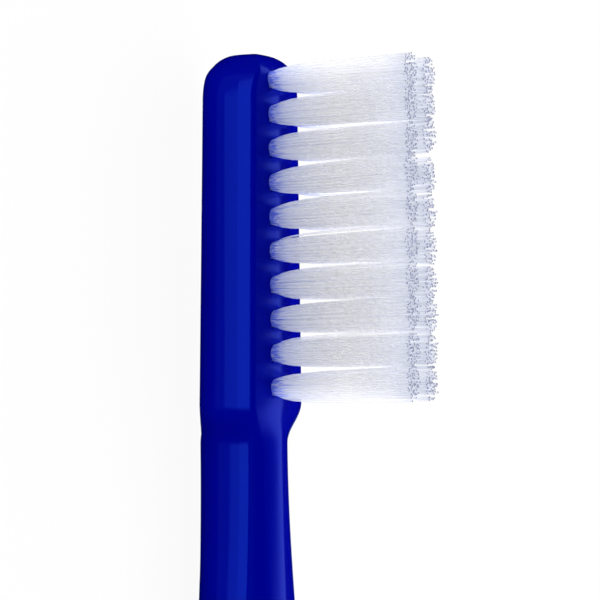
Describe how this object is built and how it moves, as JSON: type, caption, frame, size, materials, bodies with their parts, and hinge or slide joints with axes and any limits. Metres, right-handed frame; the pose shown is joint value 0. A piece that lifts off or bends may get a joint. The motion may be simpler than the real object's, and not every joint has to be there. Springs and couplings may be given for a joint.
{
  "type": "orthodontic toothbrush",
  "caption": "Narrow-headed toothbrush with two rows of filament tufts for cleaning round braces, on a one-piece moulded handle.",
  "frame": {"origin": "on the surface that the brush lies on, below the middle of its length and width", "axes": "+X from the tip of the head to the end of the grip, +Z the way the filaments point, +Y across the brush"},
  "size_m": [0.165, 0.0126, 0.0173],
  "materials": {
    "handle": "glossy moulded polypropylene, deep blue",
    "filament": "translucent white nylon filament",
    "anchor": "flat nickel silver wire, as cut"
  },
  "bodies": {
    "root": {"handle": "handle", "anchors": "anchor", "tuft_left_01": "filament", "tuft_left_02": "filament", "tuft_left_03": "filament", "tuft_left_04": "filament", "tuft_left_05": "filament", "tuft_left_06": "filament", "tuft_left_07": "filament", "tuft_left_08": "filament", "tuft_left_09": "filament", "tuft_left_10": "filament", "tuft_right_01": "filament", "tuft_right_02": "filament", "tuft_right_03": "filament", "tuft_right_04": "filament", "tuft_right_05": "filament", "tuft_right_06": "filament", "tuft_right_07": "filament", "tuft_right_08": "filament", "tuft_right_09": "filament", "tuft_right_10": "filament"}
  },
  "joints": []
}
